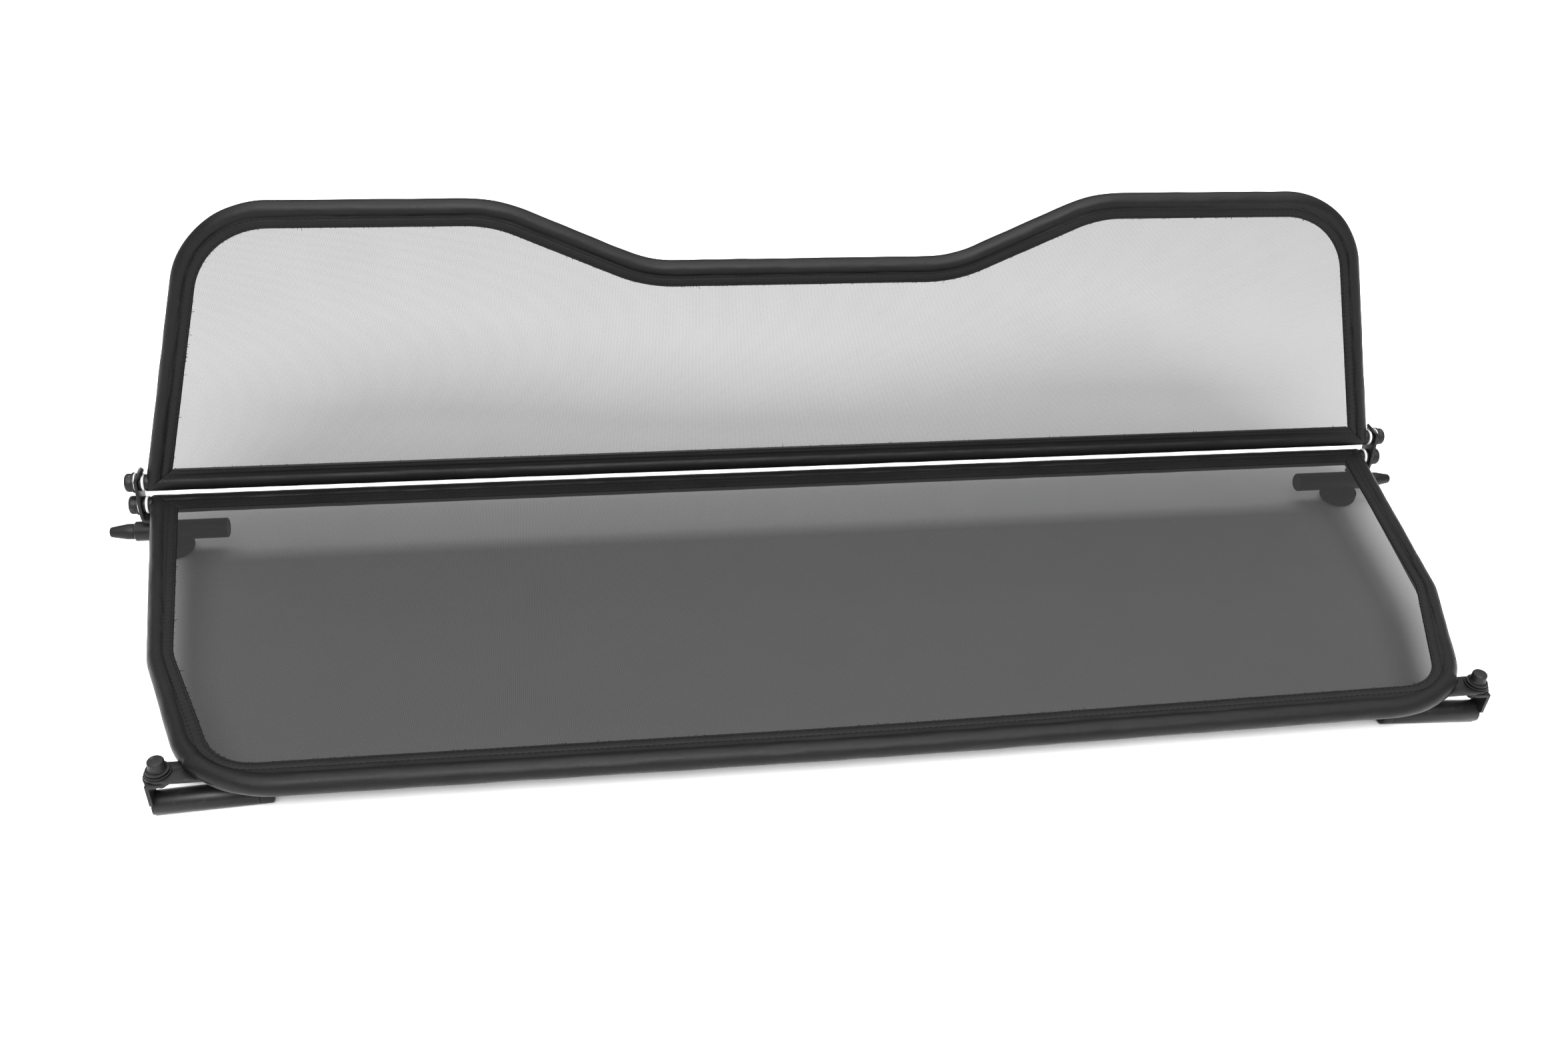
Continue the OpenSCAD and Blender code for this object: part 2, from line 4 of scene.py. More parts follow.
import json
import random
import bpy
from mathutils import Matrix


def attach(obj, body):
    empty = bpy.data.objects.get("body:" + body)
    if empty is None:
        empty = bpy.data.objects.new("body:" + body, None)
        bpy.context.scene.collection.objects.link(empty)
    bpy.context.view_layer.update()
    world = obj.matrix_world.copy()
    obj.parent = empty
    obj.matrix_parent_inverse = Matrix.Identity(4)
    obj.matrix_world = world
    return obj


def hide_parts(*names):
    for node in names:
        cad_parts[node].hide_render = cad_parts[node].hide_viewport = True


bl_info = {
    "name": "Folding Wind Deflector",
    "version": (1, 0, 0),
    "blender": (4, 5, 0),
    "location": "3D View > Sidebar > Deflector",
    "description": "Stitched covers, mesh, hinge hardware, locking pins and front arms",
    "category": "Add Mesh",
}

from contextlib import contextmanager
from math import acos, ceil, cos, exp, pi, radians, sin, sqrt, tan

import bmesh
import bpy
from bpy.props import FloatProperty, FloatVectorProperty, IntProperty, PointerProperty
from mathutils import Matrix, Vector, noise
from mathutils.geometry import delaunay_2d_cdt

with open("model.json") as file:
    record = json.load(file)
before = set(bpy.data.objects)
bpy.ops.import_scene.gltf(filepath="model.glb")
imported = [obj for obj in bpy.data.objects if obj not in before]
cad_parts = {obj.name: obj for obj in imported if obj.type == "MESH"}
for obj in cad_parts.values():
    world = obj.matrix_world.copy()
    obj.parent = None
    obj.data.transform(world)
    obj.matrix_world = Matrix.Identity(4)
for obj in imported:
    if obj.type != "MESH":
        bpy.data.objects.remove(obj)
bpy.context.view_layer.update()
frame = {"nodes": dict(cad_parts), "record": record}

MM = 0.001
SIDES = {"right": 1, "left": -1}

# The lower screen's plane, with the hinge axis along X, and the upper screen's plane
HINGE_Y = 0.1598
HINGE_Z = 0.051005
FLOOR_TILT = radians(2)
PIVOT_RISE = Vector((0, 0.003, 0.0215))
SCREEN_ANGLE = radians(79.2)
LOWER = Matrix.Translation((0, HINGE_Y, HINGE_Z)) @ Matrix.Rotation(FLOOR_TILT, 4, "X")
UPPER = LOWER @ Matrix.Translation(PIVOT_RISE) @ Matrix.Rotation(SCREEN_ANGLE, 4, "X")
MESH_RISE = 5.5


def mirrored(half, *middle):
    """The corners on one side, any in the middle, and the same corners on the other side."""
    return [*half, *middle, *((-x, y) for x, y in reversed(half))]


# Tube centre lines and mesh openings, in millimetres in each screen's own plane
CORNER_X = 569
SCREENS = {
    "lower": {
        "plane": LOWER,
        "body": "lower_screen",
        "inward": 1,
        "tube": mirrored([(CORNER_X, 0), (530, -214.5), (478, -355)], (0, -359.5)),
        "tube_radii": [0, 78, 80, 9000, 80, 78, 0],
        "open": mirrored([(550, -17), (518, -213.5), (467, -338)], (0, -342.5)),
        "open_radii": [4, 64.5, 42, 9000, 42, 64.5, 4],
        "bar_width": 17,
        "bar_rows": (6.2, 9.4),
        "flat": (1.12, 0.34),
    },
    "upper": {
        "plane": UPPER,
        "body": "upper_screen",
        "inward": -1,
        "tube": mirrored([(CORNER_X, 0), (508.5, 237), (263, 237), (136.5, 182)]),
        "tube_radii": [0, 80, 118, 118, 118, 118, 80, 0],
        "open": mirrored([(552, 14), (499, 223), (268, 223), (139.5, 168)]),
        "open_radii": [3, 66, 104, 132, 132, 104, 66, 3],
        "bar_width": 14,
        "bar_rows": (7.6, 11.6),
        "flat": (1.12, 0.225),
    },
}


# ---- settings ----


class DeflectorLeather(bpy.types.PropertyGroup):
    pitch: FloatProperty(name="Stitch pitch", description="Distance from stitch to stitch",
                         default=0.0047, unit="LENGTH")
    stitch: FloatProperty(name="Stitch length", description="Length of one visible stitch",
                          default=0.0034, unit="LENGTH")
    thread: FloatProperty(name="Thread thickness", description="Thickness of the thread",
                          default=0.00062, unit="LENGTH")
    colour: FloatVectorProperty(name="Leatherette", description="Colour of the leatherette",
                                default=(0.004, 0.004, 0.0041), subtype="COLOR")


class DeflectorMesh(bpy.types.PropertyGroup):
    pitch: FloatProperty(name="Thread pitch", description="Distance from thread to thread",
                         default=0.00074, unit="LENGTH")
    tuck: FloatProperty(name="Tuck", description="How far the mesh runs in under the border",
                        default=0.004, unit="LENGTH")
    frays: IntProperty(name="Frayed ends", description="Loose thread ends round each opening",
                       default=620)
    colour: FloatVectorProperty(name="Mesh", description="Colour of the mesh threads",
                                default=(0.008, 0.008, 0.0082), subtype="COLOR")


class DeflectorHardware(bpy.types.PropertyGroup):
    strip: FloatProperty(name="Bracket thickness", description="Thickness of the hinge brackets",
                         default=0.0028, unit="LENGTH")
    knob: FloatProperty(name="Knob radius", description="Radius of the thumb knobs",
                        default=0.0175, unit="LENGTH")
    ribs: IntProperty(name="Knob ribs", description="Fine ribs round each thumb knob", default=84)
    soften: FloatProperty(name="Edge rounding", description="Rounding of the metal edges",
                          default=0.0004, unit="LENGTH")
    steel: FloatVectorProperty(name="Coated steel", description="Colour of the powder coat",
                               default=(0.004, 0.004, 0.0041), subtype="COLOR")
    plastic: FloatVectorProperty(name="Plastic", description="Colour of the moulded parts",
                                 default=(0.003, 0.003, 0.003), subtype="COLOR")


class DeflectorStage(bpy.types.PropertyGroup):
    camera: FloatVectorProperty(name="Camera", description="Place of the camera",
                                default=(-0.21867, -0.96270, 0.75401), subtype="TRANSLATION")
    turn: FloatVectorProperty(name="Camera turn", description="Turn of the camera",
                              default=(0.987611, -0.048716, -0.152857), subtype="EULER")
    lens: FloatProperty(name="Lens", description="Focal length in millimetres", default=32.602)
    sky: FloatProperty(name="Room light", description="Strength of the even room light",
                       default=0.46)
    key: FloatProperty(name="Soft box", description="Power of the overhead soft box",
                       default=370.0)


# ---- shader maths ----


class Sum:
    """A shader value that can be added, multiplied and so on; each step adds its node."""

    def __init__(self, shade, socket):
        self.shade = shade
        self.socket = socket

    def step(self, operation, *values):
        return self.shade.value("Math", {"operation": operation}, dict(enumerate(values)))

    def __add__(self, other):
        return self.step("ADD", self, other)

    def __sub__(self, other):
        return self.step("SUBTRACT", self, other)

    def __rsub__(self, other):
        return self.step("SUBTRACT", other, self)

    def __mul__(self, other):
        return self.step("MULTIPLY", self, other)

    __radd__ = __add__
    __rmul__ = __mul__

    def sine(self):
        return self.step("SINE", self)


class Shade:
    """One material: a Principled shader with its fixed values, and nodes added to it."""

    def __init__(self, name, **fixed):
        self.material = bpy.data.materials.new(name)
        self.material.use_nodes = True
        self.nodes = self.material.node_tree.nodes
        self.links = self.material.node_tree.links
        self.surface = self.nodes["Principled BSDF"]
        for key, value in fixed.items():
            socket = self.surface.inputs[key.replace("_", " ")]
            socket.default_value = (*value, 1) if hasattr(value, "__len__") else value

    def node(self, kind, settings=None, sockets=None):
        made = self.nodes.new("ShaderNode" + kind)
        for key, value in (settings or {}).items():
            if key == "stops":
                while len(made.color_ramp.elements) < len(value):
                    made.color_ramp.elements.new(1)
                for element, (place, grey) in zip(made.color_ramp.elements, value):
                    element.position = place
                    element.color = (grey, grey, grey, 1)
            else:
                setattr(made, key, value)
        for key, value in (sockets or {}).items():
            self.plug(made.inputs[key], value)
        return made

    def plug(self, socket, value):
        if isinstance(value, Sum):
            self.links.new(value.socket, socket)
        elif hasattr(value, "__len__") and socket.type == "RGBA":
            socket.default_value = (*value, 1)
        else:
            socket.default_value = value

    def value(self, kind, settings=None, sockets=None, out=0):
        return Sum(self, self.node(kind, settings, sockets).outputs[out])

    def place(self, out="Object"):
        return self.value("TexCoord", out=out)

    def noise(self, scale, detail=2.0, where=None, rough=0.5):
        return self.value("TexNoise", None, {
            "Vector": where or self.place(), "Scale": scale, "Detail": detail,
            "Roughness": rough})

    def between(self, share, low, high):
        """A colour that goes from low to high as share goes from 0 to 1."""
        return self.value("Mix", {"data_type": "RGBA"},
                          {"Factor": share, 6: low, 7: high}, out=2)

    def ramp(self, share, *stops):
        return self.value("ValToRGB", {"stops": stops}, {"Fac": share})

    def bump(self, height, strength, distance):
        normal = self.value("Bump", None, {
            "Height": height, "Strength": strength, "Distance": distance})
        self.set("Normal", normal)

    def set(self, name, value):
        self.plug(self.surface.inputs[name], value)


def scaled(colour, factor):
    return tuple(c * factor for c in colour)


def make_leatherette(colour, pitch):
    """Fine-grained leatherette, puckered along its stitch rows."""
    shade = Shade("leatherette", Base_Color=colour, Specular_IOR_Level=0.11)
    cells = shade.value("TexVoronoi", {"feature": "DISTANCE_TO_EDGE"},
                        {"Vector": shade.place(), "Scale": 1150.0})
    grain = shade.ramp(cells, (0.0, 0.0), (0.35, 1.0))
    soft = shade.noise(26.0, 3.0)
    fine = shade.noise(1900.0, 2.0)
    wear = shade.noise(210.0, 5.0)
    run = shade.value("SeparateXYZ", None, {0: shade.place("UV")})
    across = shade.value("SeparateXYZ", None, {0: shade.place("UV")}, out=1)
    pucker = (run * (2 * pi / pitch)).sine()
    near = shade.ramp(across * 60.0, (0.0, 1.0), (0.55, 0.8), (0.95, 0.0))
    tone = shade.between(soft, scaled(colour, 0.7), scaled(colour, 1.4))
    shade.set("Base Color", shade.between(grain * 0.4 + 0.6, scaled(colour, 0.3), tone))
    shade.set("Roughness", 0.36 + soft * 0.12 + wear * 0.12 - grain * 0.05)
    creases = shade.noise(95.0, 4.0, rough=0.62)
    height = grain * 0.3 + fine * 0.12 + pucker * near * 0.14 + creases * 1.5
    shade.bump(height, 0.45, 0.00045)
    return shade.material


def make_thread():
    shade = Shade("thread", Base_Color=(0.003, 0.003, 0.003), Roughness=0.7,
                  Specular_IOR_Level=0.08)
    shade.bump(shade.noise(3800.0, 1.0), 0.4, 0.0002)
    return shade.material


def make_weave(name, colour, pitch, cover):
    """Fine open weave; cover is the share of the light that its threads hold back."""
    shade = Shade(name, Base_Color=colour, Roughness=0.75, Specular_IOR_Level=0.08)
    uv = shade.place("UV")
    wobble = shade.noise(310.0, 1.0, uv) - 0.5
    slub = shade.noise(22.0, 2.0, uv) - 0.5
    fuzz = shade.noise(1500.0, 2.0, uv) - 0.5
    waves = []
    for out, share in ((0, 1.0), (1, 0.82)):
        along = shade.value("SeparateXYZ", None, {0: uv}, out=out)
        waves.append((along * (2 * pi / (pitch * share)) + wobble * 1.8).sine())
    threads = (waves[0] + waves[1]) * 0.05
    shade.set("Alpha", threads + fuzz * 0.16 + slub * 0.012 + cover)
    # Painted highlight and painted shade: the thread crossings are made lighter and the gaps
    # darker in colour, following the same crown height as the bump.
    crown = threads * 4.5 + 0.5
    shade.set("Base Color", shade.between(crown, scaled(colour, 0.6), scaled(colour, 1.6)))
    shade.bump(crown, 0.3, 0.0003)
    return shade.material


def make_coat(name, colour, rough=0.4, scuffs=0.0, specular=0.16):
    """Satin coating with an even fine texture, and pale scuffs on the worn places."""
    shade = Shade(name, Base_Color=colour, Specular_IOR_Level=specular)
    peel = shade.noise(900.0, 3.0)
    cloud = shade.noise(55.0, 3.0)
    tone = shade.between(cloud, scaled(colour, 0.8), scaled(colour, 1.3))
    gloss = rough + (cloud - 0.5) * 0.14 + (peel - 0.5) * 0.12
    if scuffs:
        stretched = shade.value("Mapping", None, {
            "Vector": shade.place(), "Rotation": (0, 0, 0.7), "Scale": (1, 0.16, 1)})
        lines = shade.noise(900.0, 4.0, stretched, 0.7)
        patches = shade.noise(190.0, 3.0)
        mark = shade.ramp(lines * patches, (0.34, 0.0), (0.4, 1.0)) * scuffs
        tone = shade.between(mark, tone, scaled(colour, 9))
        gloss = gloss + mark * 0.15
    shade.set("Base Color", tone)
    shade.set("Roughness", gloss)
    shade.bump(peel, 0.22, 0.00025)
    return shade.material


def make_plain_metal(name, colour, rough):
    """Plated steel with fine turning marks."""
    shade = Shade(name, Metallic=1.0)
    marks = shade.noise(2400.0, 2.0)
    stain = shade.noise(120.0, 4.0)
    shade.set("Base Color", shade.between(stain, scaled(colour, 0.8), colour))
    shade.set("Roughness", rough + (marks - 0.5) * 0.15 + (stain - 0.5) * 0.1)
    shade.bump(marks, 0.15, 0.0001)
    return shade.material


def make_nylon():
    shade = Shade("nylon", Roughness=0.42, Specular_IOR_Level=0.5)
    cloud = shade.noise(160.0, 3.0)
    shade.set("Base Color", shade.between(cloud, (0.3, 0.3, 0.29), (0.4, 0.4, 0.39)))
    shade.bump(shade.noise(1400.0, 2.0), 0.15, 0.0002)
    return shade.material


FINISHES = {}


def make_finishes():
    scene = bpy.context.scene
    leather, mesh, metal = scene.deflector_leather, scene.deflector_mesh, scene.deflector_metal
    colour, weave = tuple(leather.colour), tuple(mesh.colour)
    steel, plastic = tuple(metal.steel), tuple(metal.plastic)
    FINISHES.update({
        "leatherette": make_leatherette(colour, leather.pitch),
        "thread": make_thread(),
        "upper_weave": make_weave("upper_weave", weave, mesh.pitch, 0.8),
        "lower_weave": make_weave("lower_weave", weave, mesh.pitch, 0.86),
        "black_steel": make_coat("black_steel", steel, 0.42, 0.25),
        "plastic": make_coat("plastic", plastic, 0.5),
        "rubber": make_coat("rubber", scaled(plastic, 1.6), 0.5, 0.9),
        "tube_steel": make_coat("tube_steel", steel, 0.5),
        "zinc": make_plain_metal("zinc", (0.55, 0.55, 0.54), 0.32),
        "nylon": make_nylon(),
    })


# ---- mesh work ----


def deselect():
    for obj in bpy.context.selected_objects:
        obj.select_set(False)


def activate(obj):
    deselect()
    obj.select_set(True)
    bpy.context.view_layer.objects.active = obj


@contextmanager
def editing(obj, select="SELECT"):
    """Edit mode on one piece, with all of it selected, or none with DESELECT."""
    activate(obj)
    bpy.ops.object.mode_set(mode="EDIT")
    bpy.ops.mesh.select_all(action=select)
    yield bmesh.from_edit_mesh(obj.data)
    bpy.ops.object.mode_set(mode="OBJECT")


def named(name):
    """The object that the last operator added, under its own name."""
    obj = bpy.context.object
    obj.name = obj.data.name = name
    return obj


def link_mesh(name, points, faces):
    data = bpy.data.meshes.new(name)
    data.from_pydata([tuple(p) for p in points], [], faces)
    obj = bpy.data.objects.new(name, data)
    bpy.context.scene.collection.objects.link(obj)
    return obj


def map_uv(obj, uvs):
    """Gives each point its place in the UV map."""
    layer = obj.data.uv_layers.new(name="UVMap")
    for loop in obj.data.loops:
        layer.data[loop.index].uv = uvs[loop.vertex_index]


def ring_points(centre, side, radius, count):
    """A ring of points across a thin tube; side points level out of it."""
    turns = [2 * pi * j / count for j in range(count)]
    return [(centre + side * (radius * cos(a)) + Vector((0, 0, radius * sin(a)))) * MM
            for a in turns]


def tube_faces(base, rings, count):
    """Faces of a closed tube whose rings of points follow each other from base."""
    faces = []
    for start in range(base, base + (rings - 1) * count, count):
        for j in range(count):
            a, b = start + j, start + (j + 1) % count
            faces.append((a, b, b + count, a + count))
    end = base + (rings - 1) * count
    return faces + [tuple(range(base, base + count))[::-1], tuple(range(end, end + count))]


def settle(obj, body, finish, slot, *nodes):
    """Gives a finished piece its material and its body, and hides the solids that it stands for.
    """
    obj.data.materials.clear()
    obj.data.materials.append(FINISHES[finish])
    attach(obj, body)
    if nodes:
        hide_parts(*nodes)
    return obj


def apply_all(obj):
    activate(obj)
    for modifier in list(obj.modifiers):
        bpy.ops.object.modifier_apply(modifier=modifier.name)


def fix_normals(obj, weld=1e-6):
    with editing(obj):
        if weld:
            bpy.ops.mesh.remove_doubles(threshold=weld)
        bpy.ops.mesh.normals_make_consistent(inside=False)


def smooth(obj, degrees):
    activate(obj)
    bpy.ops.object.shade_smooth_by_angle(angle=radians(degrees))


def place_mesh(obj, matrix=Matrix.Identity(4)):
    obj.data.transform(matrix @ obj.matrix_world)
    obj.matrix_world = Matrix.Identity(4)


def cut(obj, at, normal, near=None, keep=False):
    """Cuts along a plane, only through the faces that near picks by their middle, and clears
    what lies on the normal's side unless it is kept."""
    with editing(obj, "DESELECT") as work:
        for face in work.faces:
            face.select = near is None or near(face.calc_center_median())
        work.select_flush_mode()
        bmesh.update_edit_mesh(obj.data)
        bpy.ops.mesh.bisect(plane_co=at, plane_no=normal, clear_outer=not keep,
                            use_fill=not keep, threshold=1e-6)


def lathe(name, profile, vertices):
    """A round piece about Z: a circle drawn out ring by ring through (radius, height)."""
    deselect()
    first_r, first_z = profile[0]
    bpy.ops.mesh.primitive_circle_add(vertices=vertices, radius=first_r, fill_type="NGON",
                                      location=(0, 0, first_z))
    obj = named(name)
    with editing(obj):
        for (r0, z0), (r1, z1) in zip(profile, profile[1:]):
            bpy.ops.mesh.extrude_region_move(
                TRANSFORM_OT_translate={"value": (0, 0, z1 - z0)})
            bpy.ops.transform.resize(value=(r1 / r0, r1 / r0, 1),
                                     center_override=(0, 0, z1))
    place_mesh(obj)
    fix_normals(obj)
    return obj


def round_edges(obj, width, **settings):
    bevel = obj.modifiers.new("edges", "BEVEL")
    bevel.width = width
    bevel.segments = 2
    for key, value in settings.items():
        setattr(bevel, key, value)
    apply_all(obj)


def refine(node, body, finish, slot, soften):
    """A welded copy of a solid with its sharp edges rounded, which stands for that solid."""
    deselect()
    obj = frame["nodes"][node].copy()
    obj.data = obj.data.copy()
    for key in list(obj.keys()):
        if key.startswith("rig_"):
            del obj[key]
    obj.parent = None
    obj.name = obj.data.name = node + "_piece"
    bpy.context.scene.collection.objects.link(obj)
    with editing(obj):
        bpy.ops.mesh.remove_doubles(threshold=2e-6)
        bpy.ops.mesh.dissolve_limited(angle_limit=radians(0.4))
    round_edges(obj, soften, limit_method="ANGLE", angle_limit=radians(28),
                use_clamp_overlap=True)
    smooth(obj, 30)
    return settle(obj, body, finish, slot, node)


# ---- lines in the plane of a screen ----


def rounded_line(corners, radii, step, closed=False):
    """Points along straights and arcs, at most a step apart."""
    line, last = [], len(corners) - 1
    for i, radius in enumerate(radii):
        b = Vector(corners[i])
        if not closed and i in (0, last):
            line.append(b)
            continue
        a, c = Vector(corners[i - 1]), Vector(corners[(i + 1) % len(corners)])
        to_a, to_c = (a - b).normalized(), (c - b).normalized()
        half = acos(to_a.dot(to_c)) / 2
        centre = b + (to_a + to_c).normalized() * radius / sin(half)
        start = b + to_a * radius / tan(half) - centre
        way = 1 if (b - a).x * (c - b).y - (b - a).y * (c - b).x > 0 else -1
        sweep = (pi - 2 * half) * way
        count = max(3, ceil(abs(sweep) * radius / step))
        for k in range(count + 1):
            turn = sweep * k / count
            line.append(centre + Vector((start.x * cos(turn) - start.y * sin(turn),
                                         start.x * sin(turn) + start.y * cos(turn))))
    full = []
    for p, q in zip(line, line[1:] + (line[:1] if closed else [])):
        count = max(1, ceil((q - p).length / step))
        full += [p.lerp(q, k / count) for k in range(count)]
    return full if closed else full + [line[-1]]


def stations(line, inward):
    """(point, run, inward normal) at each point of an open line."""
    made, run = [], 0.0
    for i, p in enumerate(line):
        before, after = line[max(i - 1, 0)], line[min(i + 1, len(line) - 1)]
        run += (p - before).length if i else 0
        way = (after - before).normalized()
        made.append((p, run, Vector((way.y, -way.x)) * inward))
    return made


def widths_to(opening, places):
    """How far the mesh edge lies from the tube centre at each station, made even."""
    edges = list(zip(opening, opening[1:] + opening[:1]))
    nearest, farthest, parallel = 5, 30, 1e-9
    found = []
    for p, _, n in places:
        best = None
        for a, b in edges:
            d = b - a
            det = d.x * n.y - d.y * n.x
            if abs(det) < parallel:
                continue
            w = (d.x * (a.y - p.y) - d.y * (a.x - p.x)) / det
            t = (n.x * (a.y - p.y) - n.y * (a.x - p.x)) / det
            if 0 <= t <= 1 and nearest < w < farthest and (best is None or w < best):
                best = w
        found.append(best)
    known = [i for i, w in enumerate(found) if w is not None]
    for i in range(len(found)):
        if found[i] is None:
            found[i] = found[min(known, key=lambda k: abs(k - i))]
    for _ in range(2):
        threes = [found[max(i - 1, 0):i + 2] for i in range(len(found))]
        found = [sum(three) / len(three) for three in threes]
    return found


# ---- leatherette covers, in millimetres until a piece is made ----

# A cover's cross-section: inward from the tube's centre line and up from its plane
SLEEVE = 8.2
BORDER_TOP = 6.75
BORDER_UNDER = 4.2
EDGE_DROP, EDGE_SPAN = 0.35, 3
CROWN, CROWN_SPREAD = 0.12, 1.6
GROOVE, GROOVE_SPREAD = 0.26, 0.5
JOIN_FROM, JOIN_SPAN, JOIN_LIMIT = 3.8, 1.6, 7
LOW_ROW = 1.8


def border_top(n, width, rows):
    """Height of the border's upper face at n from the tube centre."""
    edge = max(0, (n - width + EDGE_SPAN) / EDGE_SPAN)
    middle = (rows[0] + rows[1]) / 2
    flat = BORDER_TOP - EDGE_DROP * edge ** 2
    crown = CROWN * exp(-((n - middle) / CROWN_SPREAD) ** 2)
    dips = sum(GROOVE * exp(-((n - r) / GROOVE_SPREAD) ** 2) for r in rows)
    face = flat + crown - dips
    if n < JOIN_LIMIT:
        share = min(1, max(0, (n - JOIN_FROM) / JOIN_SPAN))
        round_top = sqrt(max(SLEEVE ** 2 - n * n, 0))
        face = round_top * (1 - share) + min(face, BORDER_TOP) * share
    return face


def cover_section(width, rows):
    """(inward, up) points round the tube, along the border's underside and back on top."""
    section = [(-SLEEVE * sin(radians(a)), SLEEVE * cos(radians(a)))
               for a in range(-24, 290, 12)]
    low = width - LOW_ROW
    section += [(8.15, 3.3), (8.8, 4.0), (0.5 * (low - 1.4 + 9.2), BORDER_UNDER)]
    section += [(n, BORDER_UNDER + rise) for n, rise in (
        (low - 1.2, 0), (low - 0.6, 0.15), (low, 0.35), (low + 0.7, 0.2),
        (width - 0.25, 0.6))]
    section += [(width, MESH_RISE), (width - 0.2, MESH_RISE + 0.65)]
    first, second = rows
    tops = [4.5, 5.4, *(first + d for d in (-1.5, -0.7, 0, 0.7, 1.5)), (first + second) / 2,
            *(second + d for d in (-1.4, -0.7, 0, 0.7)), min(second + 1.35, width - 0.5)]
    section += [(n, border_top(n, width, rows)) for n in sorted(tops, reverse=True)]
    return section


def rows_for(width):
    """The two stitch rows of a border that follows the mesh's edge."""
    return (width - 7.7, width - 1.9)


SLIT_X, SLIT_Y, SLIT_Z = 484, -351, 3.5
SWELL, SWELL_REACH = 2.1, 40
SWELL_ALONG, SWELL_AHEAD, SWELL_UP = 11, 3, 3.2


def slit_swell(p, inward, up):
    """How far the cover puffs up in front of the slit that a front tab comes out of."""
    side = 1 if p.x > 0 else -1
    ahead = Vector((p.x - side * SLIT_X, p.y - SLIT_Y)).length
    along = max(0.0, (side * SLIT_X - p.x) * side)
    if inward > 0 or along > SWELL_REACH:
        return 0.0
    ridge = exp(-(along / SWELL_ALONG) ** 2)
    if not along:
        ridge *= exp(-(ahead / SWELL_AHEAD) ** 2)
    return SWELL * ridge * exp(-((up - SLIT_Z) / SWELL_UP) ** 2)


def crease(p, phase, amount):
    """Small slow unevenness of hand-stretched leatherette."""
    scale = 0.045
    return amount * noise.noise(Vector((p.x * scale, p.y * scale, phase * 1.7)))


def sweep_cover(name, places, widths, rows, uneven, swell):
    """The closed skin of a cover, ring by ring along its tube."""
    points, uvs = [], []
    top_up, border_from, hidden = 3, 8, 0.02
    for (p, run, n), width in zip(places, widths):
        section = cover_section(width, rows or rows_for(width))
        for k, (inward, up) in enumerate(section):
            push = crease(p, k * 0.21, uneven)
            if swell:
                push += slit_swell(p, inward, up)
            size = sqrt(inward ** 2 + up ** 2) or 1
            fade = 1 if inward < 5 else 0.35
            q = p + n * (inward + push * fade * inward / size)
            points.append((q.x * MM, q.y * MM, (up + push * fade * up / size) * MM))
            seen = up > top_up or inward > border_from
            uvs.append((run * MM, abs(width - inward) * MM if seen else hidden))
    obj = link_mesh(name, points, tube_faces(0, len(places), len(section)))
    map_uv(obj, uvs)
    fix_normals(obj, weld=None)
    return obj


def mitre_normal(screen):
    """Direction across the seam at the right hinge corner, pointing to the hinge bar."""
    corner, end = Vector(screen["tube"][0]), Vector(screen["tube"][1])
    along_side = (end - corner).normalized()
    along_bar = Vector((-1, 0))
    return (along_bar - along_side).normalized()


SEAM_FROM, SEAM_REACH = 400, 60
SEAM_OVERLAP = 0.04
SEAM_LOOPS = (2.6, 1.1)
SEAM_TURN = 0.5
BAR_END = 577.3


def mitre(obj, screen, keep_side):
    """Cuts a cover along the seams at both hinge corners and turns its cut edge in."""
    across = mitre_normal(screen)
    for side in (1, -1):
        normal = Vector((across.x * side, across.y, 0))
        if not keep_side:
            normal = -normal
        at = Vector((CORNER_X * side * MM, 0, 0))
        edge = at + normal * SEAM_OVERLAP * MM

        def near(middle, side=side):
            return middle.x * side > SEAM_FROM * MM and abs(middle.y) < SEAM_REACH * MM

        for back in SEAM_LOOPS:
            cut(obj, edge - normal * back * MM, normal, near, keep=True)
        cut(obj, edge, normal, near)
        turned = [v for v in obj.data.vertices if abs((v.co - edge).dot(normal)) < 2e-5
                  and near(v.co)]
        for v in turned:
            inward = v.normal - normal * v.normal.dot(normal)
            v.co -= inward * SEAM_TURN * MM
    for side in (1, -1):
        cut(obj, (side * BAR_END * MM, 0, 0), (side, 0, 0))


def cover_rows(places, widths, rows):
    """Lines of points for the stitch rows of one cover: two above and one below."""
    lines = []
    for index in (0, 1, 2):
        line = []
        for (p, _, n), width in zip(places, widths):
            own = rows or rows_for(width)
            if index == 2:
                inward, up = width - LOW_ROW, BORDER_UNDER + 0.3
            else:
                inward, up = own[index], border_top(own[index], width, own)
            q = p + n * inward
            line.append(Vector((q.x, q.y, up)))
        lines.append((line, -1 if index == 2 else 1))
    return lines


def inside_seams(point, screen, keep_side, margin):
    """Whether a stitch at this point belongs to the kept side of the corner seams."""
    if abs(point.y) > SEAM_REACH:
        return keep_side
    across = mitre_normal(screen)
    if not keep_side:
        across = -across
    here = Vector((abs(point.x) - CORNER_X, point.y))
    return here.dot(across) < -margin


